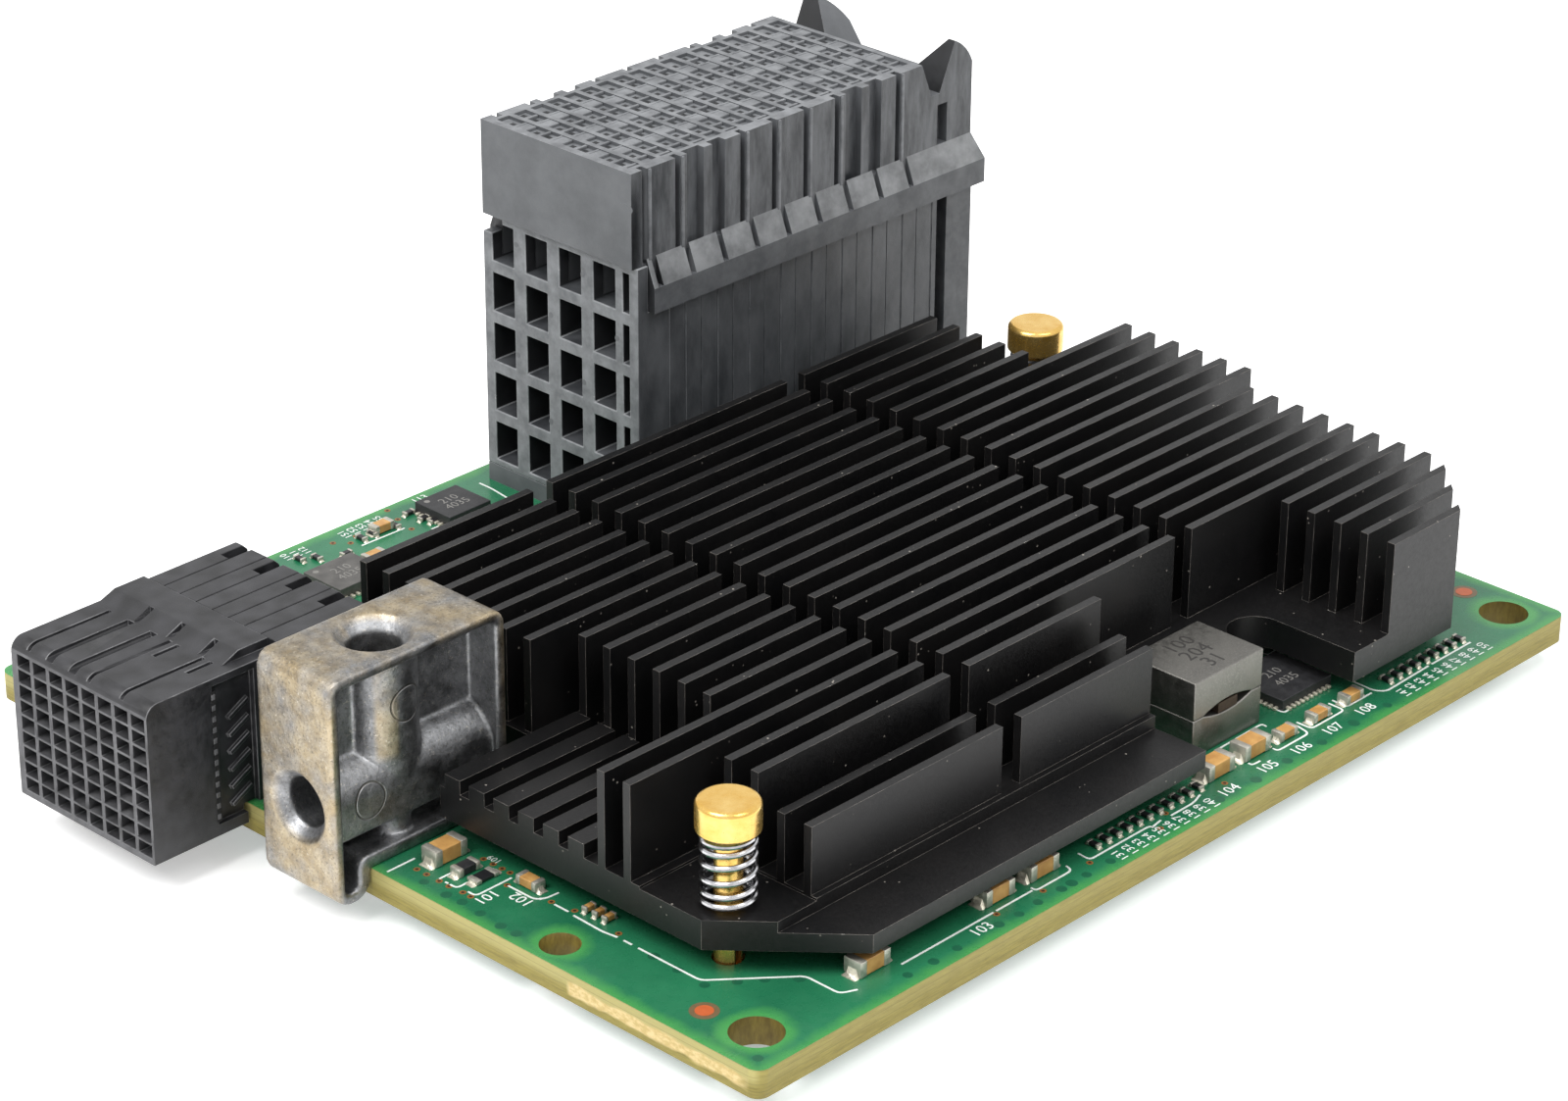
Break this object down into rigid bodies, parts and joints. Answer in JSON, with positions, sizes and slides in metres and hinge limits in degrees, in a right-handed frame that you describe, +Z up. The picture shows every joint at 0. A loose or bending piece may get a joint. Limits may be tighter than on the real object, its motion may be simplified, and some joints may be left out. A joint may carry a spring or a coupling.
{
  "type": "fibre channel expansion card",
  "caption": "Server expansion card: green board, black finned heat sink on sprung push pins, tall grey mezzanine connector, black right-angle connector and cast guide block.",
  "frame": {"origin": "axis of the front left mounting hole, on the board's underside", "axes": "+X along the board's front edge to the right, +Y to the back edge with the tall connector, +Z up from the component side"},
  "size_m": [0.0997, 0.0796, 0.0371],
  "materials": {
    "board_laminate": "green solder mask over olive glass laminate edges",
    "black_anodised": "black anodised, milled",
    "gilt_brass": "bright turned brass",
    "spring_steel": "bright spring wire",
    "plated_steel": "nickel plated",
    "tinned_copper": "tin plated",
    "cast_zinc": "dull die-cast zinc, stained",
    "black_plastic": "moulded black connector plastic",
    "grey_plastic": "moulded grey connector plastic",
    "pale_plastic": "pale moulded plastic",
    "thermal_rubber": "soft thermal pad",
    "ferrite": "sintered grey ferrite",
    "chip_plastic": "black moulded chip package",
    "tan_ceramic": "tan ceramic with tinned ends"
  },
  "bodies": {
    "card": {"circuit_board": "board_laminate", "controller_substrate": "board_laminate", "controller_lid": "plated_steel", "thermal_pad": "thermal_rubber", "heat_sink": "black_anodised", "pin_spring_front": "spring_steel", "pin_spring_rear": "spring_steel", "inductor_core_lower": "ferrite", "inductor_core_upper": "ferrite", "inductor_strip": "tinned_copper", "power_controller": "chip_plastic", "rear_driver_chip": "chip_plastic", "rear_logic_chip": "chip_plastic", "bulk_capacitors": "tan_ceramic", "ceramic_capacitors": "tan_ceramic", "ferrite_bead": "chip_plastic", "chip_resistors": "chip_plastic", "edge_housing": "black_plastic", "edge_contact_tails": "tinned_copper", "mezzanine_base": "grey_plastic", "mezzanine_end_cover": "grey_plastic", "mezzanine_end_post": "grey_plastic", "mezzanine_shroud": "grey_plastic", "guide_block": "cast_zinc", "guide_screw": "plated_steel", "support_foot": "pale_plastic", "edge_wafer_1": "black_plastic", "edge_wafer_2": "black_plastic", "edge_wafer_3": "black_plastic", "edge_wafer_4": "black_plastic", "edge_wafer_5": "black_plastic", "edge_wafer_6": "black_plastic", "edge_wafer_7": "black_plastic", "edge_wafer_8": "black_plastic", "mezzanine_wafer_01": "grey_plastic", "mezzanine_wafer_02": "grey_plastic", "mezzanine_wafer_03": "grey_plastic", "mezzanine_wafer_04": "grey_plastic", "mezzanine_wafer_05": "grey_plastic", "mezzanine_wafer_06": "grey_plastic", "mezzanine_wafer_07": "grey_plastic", "mezzanine_wafer_08": "grey_plastic", "mezzanine_wafer_09": "grey_plastic"},
    "front_pin": {"push_pin_front": "gilt_brass"},
    "rear_pin": {"push_pin_rear": "gilt_brass"}
  },
  "joints": [
    {"name": "front_pin_press", "type": "slide", "parent": "card", "child": "front_pin", "axis": [0, 0, 1], "range_m": [-0.0015, 0], "stiffness_N_per_m": 400, "deforming": ["pin_spring_front"]},
    {"name": "rear_pin_press", "type": "slide", "parent": "card", "child": "rear_pin", "axis": [0, 0, 1], "range_m": [-0.0015, 0], "stiffness_N_per_m": 400, "deforming": ["pin_spring_rear"]}
  ]
}
